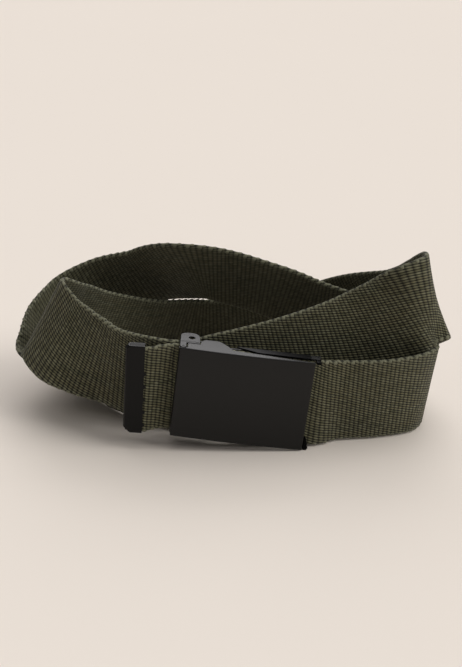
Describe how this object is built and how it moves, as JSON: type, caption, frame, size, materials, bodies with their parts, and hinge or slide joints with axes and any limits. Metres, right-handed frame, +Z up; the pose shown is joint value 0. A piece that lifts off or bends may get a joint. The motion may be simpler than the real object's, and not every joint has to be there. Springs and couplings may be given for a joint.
{
  "type": "belt",
  "caption": "Coiled webbing belt with a flip-top plate buckle and a folded metal tip, standing on its edge.",
  "frame": {"origin": "middle of the coiled belt's footprint, on the surface that it stands on", "axes": "+X along the front strap to the right, +Y from the buckle to the back of the coil, +Z up"},
  "size_m": [0.186, 0.1096, 0.0757],
  "materials": {
    "webbing": "coarse woven",
    "black_metal": "satin"
  },
  "bodies": {
    "belt": {"webbing_strap": "webbing", "buckle_frame": "black_metal", "hinge_pin": "black_metal", "end_clamp": "black_metal", "strap_tip": "black_metal"},
    "cover": {"buckle_cover": "black_metal"}
  },
  "joints": [
    {"name": "cover_hinge", "type": "hinge", "parent": "belt", "child": "cover", "pos_m": [-0.02063, -0.05107, 0.02675], "axis": [-0.1253, 0.0279, -0.9917], "range_deg": [0, 85]}
  ]
}
